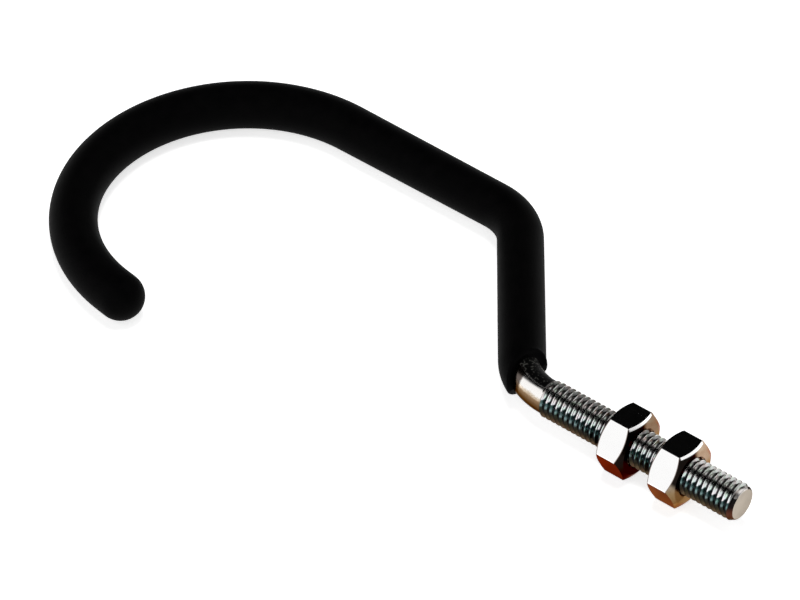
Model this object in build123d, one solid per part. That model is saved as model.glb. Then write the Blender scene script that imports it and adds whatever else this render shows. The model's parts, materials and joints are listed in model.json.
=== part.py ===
from build123d import *
import os
from math import asin, cos, degrees, pi, radians, sin, sqrt, tan

# Screw hook: a bent steel rod with a machine thread and two hexagon nuts, coated with vinyl from the first
# bend to the tip. Lengths are in millimetres and angles in degrees. The hook is drawn in its own plane, with
# the free end of the thread at zero and the shank along X, and then laid down as it comes to rest.

# Thread, rolled on the rod, so that its crests stand above the blank
thread_diameter = 8.0
thread_pitch = 1.25
thread_length = 47.7
thread_lead_length = 1.1
thread_lead_angle = 30.0
rolled_depth_share = 0.65

# Bends of the rod, along its centreline
plain_shank_length = 0.6
bend_radius = 14.0
bend_angle = 50.7
riser_length = 36.6
arm_length = 39.5
bight_radius = 35.0
bight_angle = 172.0
tip_length = 2.6

# Vinyl coat, thicker round the bight than on the riser, with a rounded mouth that is slanted back on top
riser_wall = 1.3
bight_wall = 1.5
mouth_reach = 5.4
slant_reach = 6.1
slant_angle = 35.0
lip_radius = 0.6

# Hexagon nuts and their places on the thread
nut_sides = 6
nut_across_flats = 13.0
nut_height = 6.5
nut_corner_chamfer = 1.0
nut_chamfer_angle = 30.0
nut_countersink = 0.35
nut_running_clearance = 0.05
free_end_length = 12.2
clamp_gap = 6.2
outer_nut_turn = 5.0
inner_nut_turn = 6.3

# Room for cuts to run past the faces that they meet
cut_overrun = 0.4

# Sizes and places that follow from those above
shank_length = thread_length + plain_shank_length
rod_diameter = thread_diameter - rolled_depth_share * thread_pitch
riser_diameter = rod_diameter + 2 * riser_wall
bight_diameter = rod_diameter + 2 * bight_wall
nut_corner_radius = nut_across_flats / 2 / cos(pi / nut_sides)
nut_chamfer_slope = tan(radians(nut_chamfer_angle))
outer_nut_place = -(free_end_length + nut_height / 2)
inner_nut_place = outer_nut_place - nut_height - clamp_gap


def onward(run, length):
    """Straight run that carries on from the end of another."""
    return Line(run @ 1, run @ 1 + (run % 1) * length)


def onward_bend(run, radius, angle):
    """Arc that carries on from the end of another run, turning left for a positive angle."""
    return JernArc(run @ 1, run % 1, radius, angle)


# Centreline, from within the thread to the tip
shank = Line((-thread_length / 2, 0), (-shank_length, 0))
first_bend = onward_bend(shank, bend_radius, -bend_angle)
riser = onward(first_bend, riser_length)
second_bend = onward_bend(riser, bend_radius, bend_angle)
arm = onward(second_bend, arm_length)
bight = onward_bend(arm, bight_radius, bight_angle)
tip = onward(bight, tip_length)


def bar(runs, diameter):
    """Round bar along runs that meet in line."""
    line = Wire([run.edge() for run in runs])
    start = Plane(origin=line @ 0, z_dir=line % 0)
    return sweep(start * Circle(diameter / 2), path=line)


def turned(points):
    """Solid turned about the shank's axis from a half section of points, each a place along X and a radius."""
    return revolve(make_face(Polyline(points, close=True)), Axis.X)


def hook_rod():
    """Rod from the thread's free end to the tip, with the thread as a plain bar of its crest diameter."""
    crest = thread_diameter / 2
    blank = rod_diameter / 2
    thread = turned([
        (0, 0),
        (0, crest - thread_lead_length * tan(radians(thread_lead_angle))),
        (-thread_lead_length, crest),
        (-thread_length + crest - blank, crest),
        (-thread_length, blank),
        (-thread_length, 0),
    ])
    return bar([shank, first_bend, riser, second_bend, arm, bight, tip], rod_diameter) + thread


def mouth_plane(reach, slant):
    """Level across the rod in the first bend, square to the shank but for its slant."""
    rod_offset = bend_radius - sqrt(bend_radius ** 2 - reach ** 2)
    away = (cos(radians(slant)), 0, sin(radians(slant)))
    return Plane((-(shank_length + reach), rod_offset, 0), z_dir=away)


def vinyl_sleeve(rod):
    """Coat over the rod: a bar of each stretch's outer size, domed at the tip, less the rod inside it."""
    low = bar([shank, first_bend, riser, second_bend], riser_diameter)
    low = split(low, bisect_by=mouth_plane(mouth_reach, 0), keep=Keep.BOTTOM)
    low = split(low, bisect_by=mouth_plane(slant_reach, slant_angle), keep=Keep.BOTTOM)
    mouth_faces = low.faces().filter_by(GeomType.PLANE).sort_by(Axis.X)[-2:]
    low = fillet(mouth_faces.edges(), lip_radius)
    swelling = Plane(arm @ 0, z_dir=arm % 0) * Cone(
        riser_diameter / 2,
        bight_diameter / 2,
        arm_length,
        align=(Align.CENTER, Align.CENTER, Align.MIN),
    )
    high = bar([bight, tip], bight_diameter)
    dome = Pos(tip @ 1) * Sphere(bight_diameter / 2)
    return low + swelling + high + dome - rod


def hexagon_nut(place, turn):
    """Nut with chamfered faces and a countersunk bore, turned on the thread from where its flats lie level."""
    face_radius = nut_corner_radius - nut_corner_chamfer / nut_chamfer_slope
    rim = nut_corner_radius + cut_overrun
    top = nut_height / 2
    bore = thread_diameter / 2 + nut_running_clearance
    upper_half = [
        (top - (rim - face_radius) * nut_chamfer_slope, rim),
        (top, face_radius),
        (top, bore + nut_countersink),
        (top - nut_countersink, bore),
    ]
    lower_half = [(-along, radius) for along, radius in reversed(upper_half)]
    hexagon = RegularPolygon(nut_across_flats / 2, nut_sides, major_radius=False)
    prism = extrude(Plane.YZ * hexagon, nut_height, both=True)
    return Pos(place, 0, 0) * Rotation(-turn, 0, 0) * (turned(upper_half + lower_half) & prism)


def resting_lean():
    """Lean of the shank when the hook lies on the inner nut's corner and on the far side of the bight."""
    corner_end = inner_nut_place - nut_height / 2 + nut_corner_chamfer
    corner_depth = nut_corner_radius * cos(pi / nut_sides - radians(inner_nut_turn))
    bight_side = (arm @ 1).X - bight_radius
    drop = corner_depth - bight_diameter / 2
    return degrees(asin(drop / (corner_end - bight_side)))


def main():
    rod = hook_rod()
    pieces = {
        "hook_rod": rod,
        "vinyl_sleeve": vinyl_sleeve(rod),
        "inner_nut": hexagon_nut(inner_nut_place, inner_nut_turn),
        "outer_nut": hexagon_nut(outer_nut_place, outer_nut_turn),
    }
    lean = Rotation(0, -resting_lean(), 0)
    leaning = {name: lean * piece for name, piece in pieces.items()}
    box = Compound(list(leaning.values())).bounding_box()
    to_origin = Pos(-box.center().X, -box.center().Y, -box.min.Z)
    os.makedirs("parts", exist_ok=True)
    for name, piece in leaning.items():
        export_step(to_origin * piece, f"parts/{name}.step")


main()
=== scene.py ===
import json
from math import cos, pi, radians, sin, sqrt, tan

import bmesh
import bpy
from mathutils import Matrix, Vector


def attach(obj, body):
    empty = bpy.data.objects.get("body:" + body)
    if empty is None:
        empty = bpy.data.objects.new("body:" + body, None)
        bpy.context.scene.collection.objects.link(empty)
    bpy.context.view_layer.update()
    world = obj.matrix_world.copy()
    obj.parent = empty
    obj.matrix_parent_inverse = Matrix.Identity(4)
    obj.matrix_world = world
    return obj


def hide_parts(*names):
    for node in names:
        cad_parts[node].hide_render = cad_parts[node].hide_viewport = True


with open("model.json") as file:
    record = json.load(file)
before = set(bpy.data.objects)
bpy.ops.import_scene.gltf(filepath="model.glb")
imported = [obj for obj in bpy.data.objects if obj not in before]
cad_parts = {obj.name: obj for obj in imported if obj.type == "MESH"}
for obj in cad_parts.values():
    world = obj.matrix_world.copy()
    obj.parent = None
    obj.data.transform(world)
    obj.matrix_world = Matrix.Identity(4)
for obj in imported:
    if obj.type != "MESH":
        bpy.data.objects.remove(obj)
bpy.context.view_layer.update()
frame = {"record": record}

# Sizes in metres and radians, in the hook's own plane: the thread's free end at zero, the shank along X
MM = 0.001
THREAD_RADIUS = 4.0 * MM
THREAD_PITCH = 1.25 * MM
THREAD_LENGTH = 48.3 * MM
THREAD_DEPTH = 0.7 * MM
LEAD_LENGTH = 1.1 * MM
LEAD_SLOPE = tan(radians(30))
END_RIM = 0.12 * MM
LEAD_RADIUS = THREAD_RADIUS - LEAD_LENGTH * LEAD_SLOPE
RUN_OUT = 0.8 * MM
ROD_RADIUS = 3.59375 * MM
SHANK_LENGTH = THREAD_LENGTH
BEND_RADIUS = 14.0 * MM
BEND_ANGLE = radians(50.7)
RISER_LENGTH = 36.6 * MM
ARM_LENGTH = 39.5 * MM
BIGHT_RADIUS = 35.0 * MM
BIGHT_ANGLE = radians(172.0)
TIP_LENGTH = 2.6 * MM
RISER_COAT = 4.89375 * MM
BIGHT_COAT = 5.09375 * MM
COAT_GRIP = 0.01 * MM
MOUTH_REACH = 6.6 * MM
MOUTH_TILT = radians(9)
MOUTH_TOP_SLANT = radians(24)
MOUTH_LOW_SLANT = radians(16)
MOUTH_BLUNT = 0.3 * MM
LIP_RADIUS = 0.6 * MM
NUT_FLAT = 6.5 * MM
NUT_HALF = 3.25 * MM
NUT_CHAMFER = 1.0 * MM
NUT_CHAMFER_SLOPE = tan(radians(30))
NUT_BORE = 4.05 * MM
NUT_SINK = 0.35 * MM
NUT_CORNER = NUT_FLAT / cos(pi / 6)
NUT_FACE = NUT_CORNER - NUT_CHAMFER / NUT_CHAMFER_SLOPE
NUT_EDGE = 0.12 * MM
OUTER_NUT_PLACE = -15.45 * MM
OUTER_NUT_TURN = radians(5.0)
INNER_NUT_PLACE = -28.15 * MM
INNER_NUT_TURN = radians(6.3)

# Fineness of the meshes
RING_SIDES = 72
THREAD_STEPS = 72
STRAIGHT_STEPS = 12
BEND_STEPS = 20
BIGHT_STEPS = 72
DOME_RINGS = 12
LIP_RINGS = 6
NUT_STEPS = 120
SLIVER = 0.002 * MM

# Angles between faces from which an edge shows as a crease
ROD_CREASE = radians(40)
COAT_CREASE = radians(60)
NUT_CREASE = radians(12)

# The shank's place on the frame, and the move from the hook's own plane to it
mounts = {mount["name"]: mount for mount in frame["record"]["mounts"]}
shank_end = Vector(mounts["threaded_shank"]["pos_m"])
shank_axis = Vector(mounts["threaded_shank"]["axis"]).normalized()
across = Vector((0, 1, 0))
upright = shank_axis.cross(across)
TO_ROW = Matrix.Translation(shank_end) @ Matrix((shank_axis, across, upright)).transposed().to_4x4()


# Meshes

def verts_of(edges):
    """Vertices of some edges, each once, in their order."""
    return list(dict.fromkeys(vert for edge in edges for vert in edge.verts))


def of_kind(geom, kind):
    """Members of one kind in a list of mesh elements."""
    return [item for item in geom if isinstance(item, kind)]


def everything(bm):
    """All elements of a mesh, as a cut takes them."""
    return bm.verts[:] + bm.edges[:] + bm.faces[:]


def cut(bm, place, outward):
    """Cuts a mesh by a plane, clears what lies outward of it and gives the edges of the cut."""
    done = bmesh.ops.bisect_plane(
        bm, geom=everything(bm), dist=1e-9, plane_co=place, plane_no=outward, clear_outer=True
    )
    return of_kind(done["geom_cut"], bmesh.types.BMEdge)


def chain(bm, points):
    """Open chain of edges through points, for a spin."""
    verts = [bm.verts.new(point) for point in points]
    return verts + [bm.edges.new(pair) for pair in zip(verts[:-1], verts[1:])]


def mark(bm, name, test):
    """Gives the faces that pass a test the value 1 in a named attribute of the mesh."""
    layer = bm.faces.layers.float.new(name)
    for face in bm.faces:
        face[layer] = float(test(face))


class DrawnBar:
    """Ring of edges that is drawn along the hook's line, straight or round bends."""

    def __init__(self, bm, edges, place, heading):
        self.bm = bm
        self.edges = edges
        self.place = Vector(place)
        self.heading = Vector(heading)

    def straight(self, length, steps=1, swell=1.0):
        """Draws the ring on along its heading, and swells it on the way."""
        for _ in range(steps):
            made = bmesh.ops.extrude_edge_only(self.bm, edges=self.edges)["geom"]
            verts = of_kind(made, bmesh.types.BMVert)
            new = set(verts)
            edges = of_kind(made, bmesh.types.BMEdge)
            self.edges = [edge for edge in edges if new.issuperset(edge.verts)]
            step = self.heading * (length / steps)
            self.place = self.place + step
            bmesh.ops.translate(self.bm, vec=step, verts=verts)
            growth = swell ** (1 / steps)
            turn = self.heading.to_track_quat("X", "Z").to_matrix().to_4x4()
            ring = Matrix.Translation(self.place) @ turn
            bmesh.ops.scale(self.bm, vec=(1, growth, growth), space=ring.inverted(), verts=verts)

    def bend(self, radius, turn, steps):
        """Swings the ring round a bend, to the left for a positive turn."""
        left = Vector((-self.heading.y, self.heading.x, 0))
        centre = self.place + left * (radius if turn > 0 else -radius)
        ring = verts_of(self.edges) + self.edges
        done = bmesh.ops.spin(self.bm, geom=ring, cent=centre, axis=(0, 0, 1), angle=turn, steps=steps)
        self.edges = of_kind(done["geom_last"], bmesh.types.BMEdge)
        swing = Matrix.Rotation(turn, 3, "Z")
        self.place = centre + swing @ (self.place - centre)
        self.heading = swing @ self.heading

    def dome(self, radius, rings):
        """Closes the ring over with half a ball."""
        angles = [pi / 2 * number / rings for number in range(rings + 1)]
        for low, high in zip(angles[:-2], angles[1:-1]):
            self.straight(radius * (sin(high) - sin(low)), swell=cos(high) / cos(low))
        self.straight(radius * (1 - sin(angles[-2])))
        bmesh.ops.pointmerge(self.bm, verts=verts_of(self.edges), merge_co=self.place)

    def lip(self, radius, outside, inside, rings):
        """Rounds the ring over to a lip that ends on the rod, for a coat between two radii."""
        size = outside
        for number in range(rings):
            low = pi / 2 * number / rings
            high = pi / 2 * (number + 1) / rings
            smaller = outside - radius * (1 - cos(high))
            self.straight(radius * (sin(high) - sin(low)), swell=smaller / size)
            size = smaller
        self.straight(0, swell=inside / size)

    def cap(self):
        """Closes the ring with a flat face."""
        bmesh.ops.contextual_create(self.bm, geom=self.edges)

    def hook(self, swell=1.0):
        """Draws the ring on from the shank's end to the tip, swelling along the arm."""
        self.bend(BEND_RADIUS, -BEND_ANGLE, BEND_STEPS)
        self.straight(RISER_LENGTH, STRAIGHT_STEPS)
        self.bend(BEND_RADIUS, BEND_ANGLE, BEND_STEPS)
        self.straight(ARM_LENGTH, STRAIGHT_STEPS, swell)
        self.bend(BIGHT_RADIUS, BIGHT_ANGLE, BIGHT_STEPS)
        self.straight(TIP_LENGTH)


def bar_from_shank(bm, radius):
    """Ring at the shank's end, ready to be drawn along the hook."""
    place = (-SHANK_LENGTH, 0, 0)
    spot = Matrix.Translation(place) @ Matrix.Rotation(pi / 2, 4, "Y")
    verts = bmesh.ops.create_circle(bm, segments=RING_SIDES, radius=radius, matrix=spot)["verts"]
    edges = list(dict.fromkeys(edge for vert in verts for edge in vert.link_edges))
    return DrawnBar(bm, edges, place, (-1, 0, 0))


def finished(bm, name, body, node, finish, crease):
    """Piece of the object from its mesh: cleared of slivers, placed on the frame, its creases marked."""
    bmesh.ops.remove_doubles(bm, verts=bm.verts, dist=SLIVER)
    bmesh.ops.dissolve_degenerate(bm, dist=SLIVER, edges=bm.edges)
    bmesh.ops.transform(bm, matrix=TO_ROW, verts=bm.verts)
    bmesh.ops.recalc_face_normals(bm, faces=bm.faces)
    for face in bm.faces:
        face.smooth = True
    for edge in bm.edges:
        edge.smooth = edge.calc_face_angle(pi) < crease
    mesh = bpy.data.meshes.new(name)
    bm.to_mesh(mesh)
    bm.free()
    mesh.materials.append(finish)
    piece = bpy.data.objects.new(name, mesh)
    bpy.context.scene.collection.objects.link(piece)
    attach(piece, body)
    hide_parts(node)


def thread_section():
    """Thread's section over one pitch, from the middle of a root over a crest to the next root."""
    root = THREAD_RADIUS - THREAD_DEPTH
    flank_shares = [(0.0, 0.0), (0.07, 0.02), (0.14, 0.12), (0.38, 0.88), (0.43, 0.98)]
    half = [(along * THREAD_PITCH, root + rise * THREAD_DEPTH) for along, rise in flank_shares]
    other_half = [(THREAD_PITCH - along, radius) for along, radius in reversed(half)]
    return half + [(THREAD_PITCH / 2, THREAD_RADIUS)] + other_half


def eased(value, low, high):
    """Soft step of a number from 0 at one value to 1 at another."""
    share = min(max((value - low) / (high - low), 0), 1)
    return share * share * (3 - 2 * share)


def rolled_thread(bm):
    """Right-hand thread: one turn spun with an advance of a pitch, repeated along the shank, cut square."""
    start = -THREAD_LENGTH - 2 * THREAD_PITCH
    bmesh.ops.spin(
        bm,
        geom=chain(bm, [(start + along, 0, radius) for along, radius in thread_section()]),
        cent=(0, 0, 0),
        axis=(1, 0, 0),
        dvec=(THREAD_PITCH / THREAD_STEPS, 0, 0),
        angle=2 * pi,
        steps=THREAD_STEPS,
    )
    turn = everything(bm)
    for number in range(1, int(THREAD_LENGTH / THREAD_PITCH) + 4):
        copy = bmesh.ops.duplicate(bm, geom=turn)["geom"]
        verts = of_kind(copy, bmesh.types.BMVert)
        bmesh.ops.translate(bm, vec=(number * THREAD_PITCH, 0, 0), verts=verts)
    bmesh.ops.remove_doubles(bm, verts=bm.verts, dist=SLIVER)
    end_loop = cut(bm, (-END_RIM, 0, 0), (1, 0, 0))
    run_out_loop = cut(bm, (-THREAD_LENGTH, 0, 0), (-1, 0, 0))
    for vert in bm.verts:
        radius = sqrt(vert.co.y ** 2 + vert.co.z ** 2)
        lead = LEAD_RADIUS - vert.co.x * LEAD_SLOPE
        wanted = min(radius, lead)
        wanted = wanted + (lead - wanted) * eased(vert.co.x, -LEAD_LENGTH, -0.3 * LEAD_LENGTH)
        run_out = eased(-vert.co.x, THREAD_LENGTH - RUN_OUT, THREAD_LENGTH)
        wanted = wanted + (ROD_RADIUS - wanted) * run_out
        vert.co.yz = vert.co.yz * (wanted / radius)
    return end_loop, run_out_loop


def hook_rod(finish):
    """Rod with its thread, drawn on from the run-out to the tip, and sawn off with a broken edge."""
    bm = bmesh.new()
    end_loop, run_out_loop = rolled_thread(bm)
    free_end = DrawnBar(bm, end_loop, (-END_RIM, 0, 0), (1, 0, 0))
    free_end.straight(END_RIM, swell=(LEAD_RADIUS - END_RIM) / (LEAD_RADIUS + END_RIM * LEAD_SLOPE))
    free_end.cap()
    rod = DrawnBar(bm, run_out_loop, (-SHANK_LENGTH, 0, 0), (-1, 0, 0))
    rod.hook()
    rod.cap()
    mark(bm, "sawn_end", lambda face: face.calc_center_median().x > -SLIVER)
    finished(bm, "threaded_rod", "hook", "hook_rod", finish, ROD_CREASE)


def mouth_heading():
    """Way out of the coat's mouth, along the rod."""
    return Vector((cos(MOUTH_TILT), -sin(MOUTH_TILT), 0))


def mouth_cut(bm, setback):
    """Cuts the coat's tube off at its mouth, blunt in the hook's plane and slanted back on both sides."""
    rod_offset = BEND_RADIUS - sqrt(BEND_RADIUS ** 2 - MOUTH_REACH ** 2)
    mouth = Vector((-SHANK_LENGTH - MOUTH_REACH, rod_offset, 0)) - setback * mouth_heading()
    for slant, blunt in ((MOUTH_TOP_SLANT, 0.0), (0.0, MOUTH_BLUNT), (-MOUTH_LOW_SLANT, 0.0)):
        outward = mouth_heading() * cos(slant) + Vector((0, 0, sin(slant)))
        cut(bm, mouth - blunt * outward, outward)
    return [edge for edge in bm.edges if edge.is_boundary]


def vinyl_coat(finish):
    """Dipped coat: a skin with a domed tip, a rounded lip at its mouth and the wall that grips the rod."""
    wall = bmesh.new()
    inner = bar_from_shank(wall, ROD_RADIUS + COAT_GRIP)
    inner.hook()
    inner.cap()
    mouth_cut(wall, LIP_RADIUS / 4)
    wall_mesh = bpy.data.meshes.new("coat_wall")
    wall.to_mesh(wall_mesh)
    wall.free()

    bm = bmesh.new()
    skin = bar_from_shank(bm, RISER_COAT)
    skin.hook(BIGHT_COAT / RISER_COAT)
    skin.dome(BIGHT_COAT, DOME_RINGS)
    loop = mouth_cut(bm, LIP_RADIUS)
    spots = [vert.co for vert in verts_of(loop)]
    middle = sum(spots, Vector()) / len(spots)
    lip = DrawnBar(bm, loop, middle, mouth_heading())
    lip.lip(LIP_RADIUS, RISER_COAT, ROD_RADIUS + COAT_GRIP, LIP_RINGS)

    before = set(bm.edges)
    bm.from_mesh(wall_mesh)
    bpy.data.meshes.remove(wall_mesh)
    wall_loop = [edge for edge in bm.edges if edge not in before and edge.is_boundary]
    bmesh.ops.bridge_loops(bm, edges=lip.edges + wall_loop)
    finished(bm, "vinyl_coat", "hook", "vinyl_sleeve", finish, COAT_CREASE)


def hexagon_nut(name, place, turn, finish):
    """Nut turned with chamfered faces and a countersunk bore, then cut to six flats."""
    bm = bmesh.new()
    rim = NUT_CORNER + NUT_CHAMFER / 2
    half = [
        (NUT_HALF - (rim - NUT_FACE) * NUT_CHAMFER_SLOPE, rim),
        (NUT_HALF, NUT_FACE),
        (NUT_HALF, NUT_BORE + NUT_SINK),
        (NUT_HALF - NUT_SINK, NUT_BORE),
    ]
    section = half + [(-along, radius) for along, radius in reversed(half)] + half[:1]
    geom = chain(bm, [(along, 0, radius) for along, radius in section])
    bmesh.ops.spin(
        bm, geom=geom, cent=(0, 0, 0), axis=(1, 0, 0), angle=2 * pi, steps=NUT_STEPS, use_merge=True
    )
    bmesh.ops.remove_doubles(bm, verts=bm.verts, dist=SLIVER)
    for side in range(6):
        angle = pi / 2 + side * pi / 3
        outward = Vector((0, cos(angle), sin(angle)))
        bmesh.ops.contextual_create(bm, geom=cut(bm, outward * NUT_FLAT, outward))
    reach = {vert: sqrt(vert.co.y ** 2 + vert.co.z ** 2) for vert in bm.verts}
    near_corner = NUT_CORNER * 0.999
    corners = [edge for edge in bm.edges if min(reach[vert] for vert in edge.verts) > near_corner]
    bmesh.ops.bevel(
        bm, geom=corners, offset=NUT_EDGE, segments=2, profile=0.5, affect="EDGES", material=-1
    )
    bmesh.ops.rotate(bm, cent=(0, 0, 0), matrix=Matrix.Rotation(-turn, 3, "X"), verts=bm.verts)
    bmesh.ops.recalc_face_normals(bm, faces=bm.faces)
    # Face marks for the zinc: the end faces, the chamfers and the lower flats, where it paints reflections.
    mark(bm, "turned_end", lambda face: abs(face.normal.x) > 0.5)
    mark(bm, "chamfer", lambda face: 0.5 < abs(face.normal.x) < 0.99)
    mark(bm, "lower_flat", lambda face: face.normal.z < -0.2)
    bmesh.ops.translate(bm, vec=(place, 0, 0), verts=bm.verts)
    finished(bm, name + "_hexagon", name, name, finish, NUT_CREASE)


# Finishes

class Wire:
    """Output of a material's node. Arithmetic on it adds Math nodes."""

    def __init__(self, socket):
        self.socket = socket

    def node(self, kind, settings=None, inputs=None, output=0):
        """New node in the same tree: its settings first, then the values or links of its sockets."""
        tree = self.socket.id_data
        made = tree.nodes.new(kind)
        for name, value in (settings or {}).items():
            if name == "stops":
                ramp = made.color_ramp
                while len(ramp.elements) < len(value):
                    ramp.elements.new(1.0)
                for element, (place, colour) in zip(ramp.elements, value):
                    element.position = place
                    element.color = (*colour, 1.0)
            else:
                setattr(made, name, value)
        for name, value in (inputs or {}).items():
            if isinstance(value, Wire):
                tree.links.new(value.socket, made.inputs[name])
            else:
                made.inputs[name].default_value = value
        return Wire(made.outputs[output])

    def maths(self, operation, first, second=0.0):
        """Math node in the same tree."""
        return self.node("ShaderNodeMath", {"operation": operation}, {0: first, 1: second})

    def __add__(self, other):
        return self.maths("ADD", self, other)

    def __radd__(self, other):
        return self.maths("ADD", other, self)

    def __sub__(self, other):
        return self.maths("SUBTRACT", self, other)

    def __rsub__(self, other):
        return self.maths("SUBTRACT", other, self)

    def __mul__(self, other):
        return self.maths("MULTIPLY", self, other)

    def __rmul__(self, other):
        return self.maths("MULTIPLY", other, self)

    def __pow__(self, other):
        return self.maths("POWER", self, other)

    def __abs__(self):
        return self.maths("ABSOLUTE", self)

    def greater(self, other):
        """Larger of two values."""
        return self.maths("MAXIMUM", self, other)

    def vector(self, operation, other, output="Vector"):
        """Vector Math node on this vector and another."""
        return self.node("ShaderNodeVectorMath", {"operation": operation}, {0: self, 1: other}, output)

    def ramp(self, stops):
        """Colours along a value."""
        return self.node("ShaderNodeValToRGB", {"stops": stops}, {"Fac": self})

    def step(self, low, high):
        """Soft step from 0 at one value to 1 at another."""
        values = {"Value": self, "From Min": low, "From Max": high}
        return self.node("ShaderNodeMapRange", {"interpolation_type": "SMOOTHSTEP"}, values)

    def blend(self, first, second):
        """From one colour to another, by this value."""
        return self.node("ShaderNodeMix", {"data_type": "RGBA"}, {0: self, 6: first, 7: second}, 2)

    def noise(self, size, detail=2.0):
        """Soft noise over a place, with patches of about a size in metres."""
        values = {"Vector": self, "Scale": 1 / size, "Detail": detail}
        return self.node("ShaderNodeTexNoise", None, values)

    def attribute(self, name):
        """Value that the mesh's faces carry."""
        return self.node("ShaderNodeAttribute", {"attribute_name": name}, None, "Fac")

    def bump(self, strength, depth):
        """Normal of a surface with this height."""
        values = {"Height": self, "Strength": strength, "Distance": depth}
        return self.node("ShaderNodeBump", None, values)


def new_finish(name, sockets):
    """Material, its Principled shader with constant values on its sockets, and the place on its piece."""
    finish = bpy.data.materials.new(name)
    finish.use_nodes = True
    tree = finish.node_tree
    shader = tree.nodes["Principled BSDF"]
    for socket, value in sockets.items():
        shader.inputs[socket].default_value = value
    place = Wire(tree.nodes.new("ShaderNodeTexCoord").outputs["Object"])
    return finish, shader, place


def feed(shader, **wires):
    """Links varying values to sockets of the shader."""
    for name, wire in wires.items():
        shader.id_data.links.new(wire.socket, shader.inputs[name.replace("_", " ")])


# Places along and around the shank that the zinc follows, in millimetres
CREST = THREAD_RADIUS / MM
ROOT = (THREAD_RADIUS - THREAD_DEPTH) / MM
LEAD = LEAD_LENGTH / MM
SHANK = SHANK_LENGTH / MM
COAT_EDGE = 54.0
FLAT = NUT_FLAT / MM
BETWEEN_NUTS = -(OUTER_NUT_PLACE + INNER_NUT_PLACE) / 2 / MM
NUT_SPREAD = (OUTER_NUT_PLACE - INNER_NUT_PLACE) / 2 / MM
TOP_FLAT_TURN = (OUTER_NUT_TURN + INNER_NUT_TURN) / 2


def on_shank(place):
    """Place on the shank in millimetres: into it from the free end, above its axis and to its back."""
    offset = place.vector("SUBTRACT", shank_end)
    reach = offset.vector("DOT_PRODUCT", shank_axis, "Value") * (-1 / MM)
    height = offset.vector("DOT_PRODUCT", upright, "Value") * (1 / MM)
    side = offset.vector("DOT_PRODUCT", across, "Value") * (1 / MM)
    return reach, height, side


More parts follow.
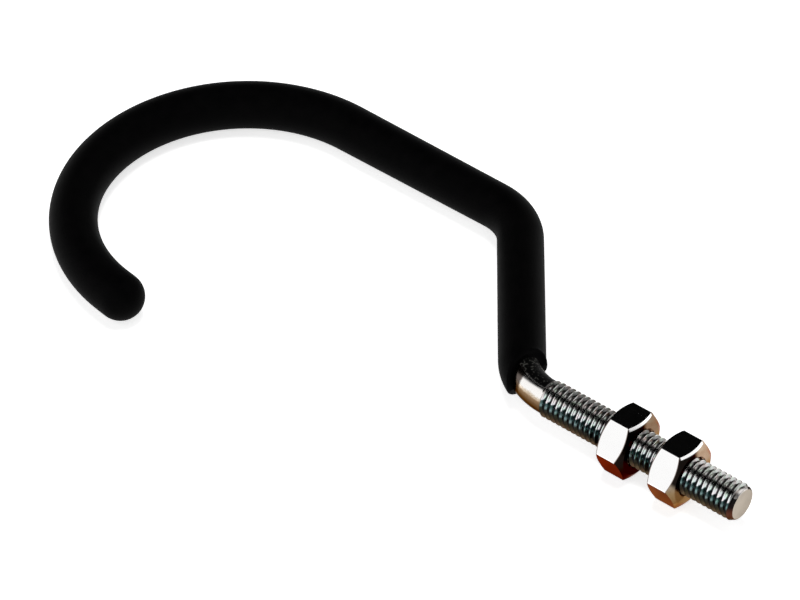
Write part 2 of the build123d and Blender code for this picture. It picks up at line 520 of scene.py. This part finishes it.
def rod_zinc():
    """Bright zinc on the rod, with painted reflections: white above, teal and brown lower down on the
    thread, amber to brown below on the plain part; painted shade in the thread's grooves and on its back
    flanks; matt where sawn; a black stain with grey specks on top between the thread and the coat, and
    darker brown at the coat's mouth.
    """
    sockets = {"Specular Tint": (0.46, 0.42, 0.39, 1.0), "Specular IOR Level": 0.05}
    finish, shader, place = new_finish("rod_zinc", sockets)
    reach, height, side = on_shank(place)
    radius = (height * height + side * side) ** 0.5
    patches = place.noise(2.5 * MM, 3.0)
    blocks = place.noise(1.1 * MM, 1.0)
    flecks = place.noise(0.5 * MM, 1.0)
    grain = place.noise(0.3 * MM, 2.0)
    # Painted reflections on the thread, by height and broken into blocks by noise: brown low down, then
    # dark, a teal band, and white glints on the upper part.
    thread_level = (height + 0.9 * (blocks - 0.5) + CREST) * (0.5 / CREST)
    painted_thread_reflection = thread_level.ramp([
        (0.00, (0.05, 0.030, 0.020)),
        (0.22, (0.16, 0.110, 0.075)),
        (0.36, (0.05, 0.035, 0.022)),
        (0.46, (0.02, 0.016, 0.010)),
        (0.58, (0.02, 0.022, 0.018)),
        (0.65, (0.16, 0.240, 0.235)),
        (0.71, (0.05, 0.085, 0.085)),
        (0.76, (0.06, 0.100, 0.100)),
        (0.79, (0.95, 0.960, 0.960)),
        (1.00, (0.90, 0.870, 0.830)),
    ])
    film = blocks.ramp([
        (0.35, (0.88, 1.00, 0.92)),
        (0.50, (0.93, 0.97, 1.00)),
        (0.65, (1.00, 0.93, 0.95)),
    ])
    painted_thread_reflection = painted_thread_reflection.vector("MULTIPLY", film)
    # Painted shade: the thread below its crests goes near black on its back half, more so away from the
    # free end.
    painted_back_shade = side.step(-0.6, 0.6) * radius.step(CREST - 0.02, CREST - 0.10)
    painted_back_shade = painted_back_shade * (0.45 + 0.45 * reach.step(11.0, 30.0))
    painted_thread_reflection = painted_back_shade.blend(painted_thread_reflection, (0.02, 0.02, 0.02, 1.0))
    # Painted reflections on the lead at the free end, by height: brown below, black across the middle, pale
    # at the top.
    painted_lead_reflection = thread_level.ramp([
        (0.00, (0.10, 0.050, 0.035)),
        (0.50, (0.07, 0.024, 0.015)),
        (0.65, (0.01, 0.006, 0.006)),
        (0.86, (0.01, 0.010, 0.010)),
        (0.92, (0.92, 0.870, 0.840)),
    ])
    # Painted reflections on the plain rod, by height: near black and brown below, amber, a white band, then
    # pale at the top.
    plain_level = (height + 0.7 * (patches - 0.5) + 0.5 * (grain - 0.5) + CREST) * (0.5 / CREST)
    painted_plain_reflection = plain_level.ramp([
        (0.00, (0.01, 0.003, 0.001)),
        (0.21, (0.03, 0.008, 0.003)),
        (0.38, (0.06, 0.024, 0.010)),
        (0.54, (0.11, 0.060, 0.028)),
        (0.65, (0.21, 0.135, 0.075)),
        (0.71, (0.66, 0.560, 0.440)),
        (0.76, (0.97, 0.950, 0.925)),
        (1.00, (0.90, 0.870, 0.840)),
    ])
    plain = reach.step(SHANK - 0.9, SHANK - 0.1)
    # Painted shade: the bottoms of the thread's grooves go near black.
    painted_root_shade = radius.step(ROOT + 0.24, ROOT + 0.04) * (1 - plain)
    lead = reach.step(LEAD, LEAD - 0.2)
    sawn = place.attribute("sawn_end")
    bend = (reach - SHANK).greater(0.0)
    lean = height + 0.3 * (side - bend * bend * (0.5 * MM / BEND_RADIUS)) + 0.5 * (grain - 0.5)
    stain = reach.step(SHANK - 0.7, SHANK + 0.1) * lean.step(2.88, 3.10)
    specks = (flecks + 0.02 * (reach - COAT_EDGE)).step(0.56, 0.66)
    stain_tone = specks.blend((0.002, 0.002, 0.002, 1.0), (0.05, 0.05, 0.045, 1.0))
    sawn_tone = (patches * 0.6).blend((0.52, 0.46, 0.39, 1.0), (0.40, 0.36, 0.31, 1.0))
    beside_coat = 0.9 * (reach + 0.8 * (grain - 0.5)).step(COAT_EDGE - 0.3, COAT_EDGE + 0.3)
    painted_plain_reflection = beside_coat.blend(painted_plain_reflection, (0.045, 0.02, 0.009, 1.0))
    tone = plain.blend(painted_thread_reflection, painted_plain_reflection)
    # The painted shade in the thread's grooves, near black.
    tone = (painted_root_shade * 0.96).blend(tone, (0.010, 0.010, 0.012, 1.0))
    tone = lead.blend(tone, painted_lead_reflection)
    tone = stain.blend(tone, stain_tone)
    tone = sawn.blend(tone, sawn_tone)
    feed(
        shader,
        Base_Color=tone,
        Metallic=1 - 0.9 * stain.step(0.6, 1.0),
        Roughness=0.10 + 0.12 * patches + 0.12 * lead + 0.28 * sawn + 0.35 * stain,
        Normal=grain.bump(0.12, 0.02 * MM),
    )
    return finish


def nut_zinc():
    """Bright zinc on the nuts, with painted reflections: amber on the outer nut's lower flats and dark red
    on the inner nut's; tan, golden brown and near black on the end faces, which are also rougher; a painted
    dark brown line on the flats beside the chamfers.
    """
    finish, clean, place = new_finish("nut_zinc", {"Metallic": 1.0})
    reach, height, side = on_shank(place)
    radius = (height * height + side * side) ** 0.5
    patches = place.noise(3.0 * MM, 3.0)
    grain = place.noise(0.4 * MM, 2.0)
    inner = reach.step(BETWEEN_NUTS - 1.0, BETWEEN_NUTS + 1.0)
    bright = patches.blend((0.95, 0.945, 0.94, 1.0), (0.98, 0.975, 0.97, 1.0))

    # Painted reflections on the lower flats, by height: amber, darker towards the top, on the outer nut and
    # dark red on the inner nut.
    level = (height + 1.4 * (patches - 0.5) + 7.0) * 0.125
    amber = level.ramp([
        (0.1, (0.14, 0.065, 0.006)),
        (0.6, (0.09, 0.045, 0.004)),
        (1.0, (0.03, 0.018, 0.004)),
    ])
    red = level.ramp([
        (0.1, (0.03, 0.002, 0.004)),
        (0.6, (0.06, 0.002, 0.005)),
        (1.0, (0.05, 0.006, 0.004)),
    ])
    painted_lower_flat_reflection = inner.blend(amber, red)
    # Painted reflections on the end faces: tan, darker on the inner nut, golden brown below the axis, and
    # near black on the front half except low on the outer nut.
    painted_end_reflection = patches.blend((0.28, 0.21, 0.13, 1.0), (0.56, 0.46, 0.36, 1.0))
    painted_end_reflection = (0.6 * inner).blend(painted_end_reflection, (0.10, 0.07, 0.04, 1.0))
    golden = patches.blend((0.20, 0.115, 0.035, 1.0), (0.46, 0.32, 0.17, 1.0))
    painted_end_reflection = height.step(2.0, -0.5).blend(painted_end_reflection, golden)
    low_end = height.step(-2.6, -4.2).greater(0.6 * (height + 1.4 * side).step(-5.8, -8.0))
    painted_tan_side = side.step(0.3, 2.0).greater(low_end * (1 - inner))
    painted_end_reflection = painted_tan_side.blend((0.008, 0.006, 0.005, 1.0), painted_end_reflection)

    turned_end = place.attribute("turned_end")
    # Painted reflection: a thin dark brown line on the flats along their edges with the chamfers.
    from_middle = abs(abs(reach - BETWEEN_NUTS) - NUT_SPREAD)
    chamfer_edge = NUT_HALF / MM - NUT_CHAMFER_SLOPE * (radius - NUT_FACE / MM)
    rim = (chamfer_edge - from_middle).step(0.2, 0.06) * (1 - turned_end)
    # The chamfers at the top of the nuts are left out of the painted reflections and show the bright zinc.
    rise = cos(TOP_FLAT_TURN) * height + sin(TOP_FLAT_TURN) * side
    unpainted_top_chamfer = place.attribute("chamfer") * rise.step(FLAT - 0.65, FLAT - 0.5)
    unpainted_top_chamfer = unpainted_top_chamfer * side.step(-3.2, -2.8) * side.step(4.2, 3.9)
    # Painted reflections go on the lower flats and on the end faces apart from the top chamfers.
    painted_reflection_mask = place.attribute("lower_flat").greater(turned_end * (1 - unpainted_top_chamfer))

    roughness = 0.05 + 0.09 * patches + 0.10 * turned_end
    normal = grain.bump(0.05, 0.02 * MM)
    # The painted dark brown line beside the chamfers, laid into the bright zinc.
    bright = (0.85 * rim).blend(bright, (0.12, 0.055, 0.03, 1.0))
    feed(clean, Base_Color=bright, Roughness=roughness, Normal=normal)
    # Second shader that carries the painted reflections, with a reddish specular tint.
    painted_reflection_shader = place.node("ShaderNodeBsdfPrincipled", None, {
        "Base Color": turned_end.blend(painted_lower_flat_reflection, painted_end_reflection),
        "Metallic": 1.0,
        "Roughness": roughness,
        "Specular Tint": (0.60, 0.36, 0.32, 1.0),
        "Normal": normal,
    })
    both = place.node("ShaderNodeMixShader", None, {0: painted_reflection_mask, 1: Wire(clean.outputs[0]), 2: painted_reflection_shader})
    finish.node_tree.links.new(both.socket, finish.node_tree.nodes["Material Output"].inputs["Surface"])
    return finish


def black_vinyl():
    """Black dipped vinyl with a faint orange-peel surface."""
    finish, shader, place = new_finish("black_vinyl", {"Specular IOR Level": 0.02})
    mottle = place.noise(2.5 * MM, 3.0)
    peel = place.noise(0.8 * MM, 2.0)
    feed(
        shader,
        Base_Color=mottle.ramp([(0.3, (0.0006, 0.0006, 0.0007)), (0.7, (0.0014, 0.0013, 0.0014))]),
        Roughness=0.52 + 0.14 * mottle,
        Normal=peel.bump(0.12, 0.05 * MM),
    )
    return finish


# Studio

def pale_floor():
    """Plain white floor that keeps the object's shadow."""
    bm = bmesh.new()
    bmesh.ops.create_grid(bm, x_segments=1, y_segments=1, size=6.0)
    mesh = bpy.data.meshes.new("floor")
    bm.to_mesh(mesh)
    bm.free()
    floor = bpy.data.objects.new("floor", mesh)
    bpy.context.scene.collection.objects.link(floor)
    sockets = {
        "Base Color": (0.9, 0.9, 0.9, 1.0),
        "Roughness": 0.9,
        "Specular IOR Level": 0.0,
        "Emission Strength": 0.66,
    }
    finish, shader, place = new_finish("pale_floor", sockets)
    camera_ray = place.node("ShaderNodeLightPath", output="Is Camera Ray")
    glossy_ray = place.node("ShaderNodeLightPath", output="Is Glossy Ray")
    glass_ray = place.node("ShaderNodeLightPath", output="Is Transmission Ray")
    feed(shader, Emission_Color=camera_ray + glossy_ray + glass_ray)
    mesh.materials.append(finish)


def studio_world():
    """Dark room with a white wall round the horizon, a wide screen in front and a window high behind."""
    world = bpy.data.worlds.new("studio")
    bpy.context.scene.world = world
    world.use_nodes = True
    tree = world.node_tree
    background = tree.nodes["Background"]
    look = Wire(tree.nodes.new("ShaderNodeTexCoord").outputs["Generated"])
    rise = look.vector("DOT_PRODUCT", (0, 0, 1), "Value")
    wall = rise.step(0.26, 0.10)
    forward = look.vector("DOT_PRODUCT", (0, -1, 0), "Value")
    screen = forward.step(0.20, 0.34) * rise.step(0.90, 0.82)
    window_way = Vector((0.30, 0.56, 0.77)).normalized()
    window = look.vector("DOT_PRODUCT", window_way, "Value").step(0.86, 0.93) * 0.9
    light = wall.greater(screen).greater(window)
    tone = light.ramp([(0.0, (0.0015, 0.0015, 0.0015)), (1.0, (1.0, 1.0, 1.0))])
    tree.links.new(tone.socket, background.inputs["Color"])
    background.inputs["Strength"].default_value = 1.0


def soft_lamp(name, place, aim, size, power):
    """Square soft box that looks at a point."""
    lamp = bpy.data.lights.new(name, "AREA")
    lamp.size = size
    lamp.energy = power
    holder = bpy.data.objects.new(name, lamp)
    holder.location = place
    holder.rotation_euler = (Vector(aim) - Vector(place)).to_track_quat("-Z", "Y").to_euler()
    holder.visible_glossy = False
    bpy.context.scene.collection.objects.link(holder)


def camera():
    """Camera at the photograph's angle, with a long lens."""
    lens = bpy.data.cameras.new("camera")
    lens.lens = 225.0
    lens.sensor_width = 36.0
    lens.clip_end = 30.0
    holder = bpy.data.objects.new("camera", lens)
    holder.location = (0.4779525, -0.5741657, 0.6966085)
    holder.rotation_euler = (radians(47.336), radians(0.1891), radians(39.803))
    bpy.context.scene.collection.objects.link(holder)
    bpy.context.scene.camera = holder


hook_rod(rod_zinc())
vinyl_coat(black_vinyl())
zinc = nut_zinc()
hexagon_nut("inner_nut", INNER_NUT_PLACE, INNER_NUT_TURN, zinc)
hexagon_nut("outer_nut", OUTER_NUT_PLACE, OUTER_NUT_TURN, zinc)
pale_floor()
studio_world()
soft_lamp("overhead", (0.0, 0.0, 1.3), (0, 0, 0), 0.45, 7.0)
camera()
bpy.context.scene.view_settings.view_transform = "Standard"
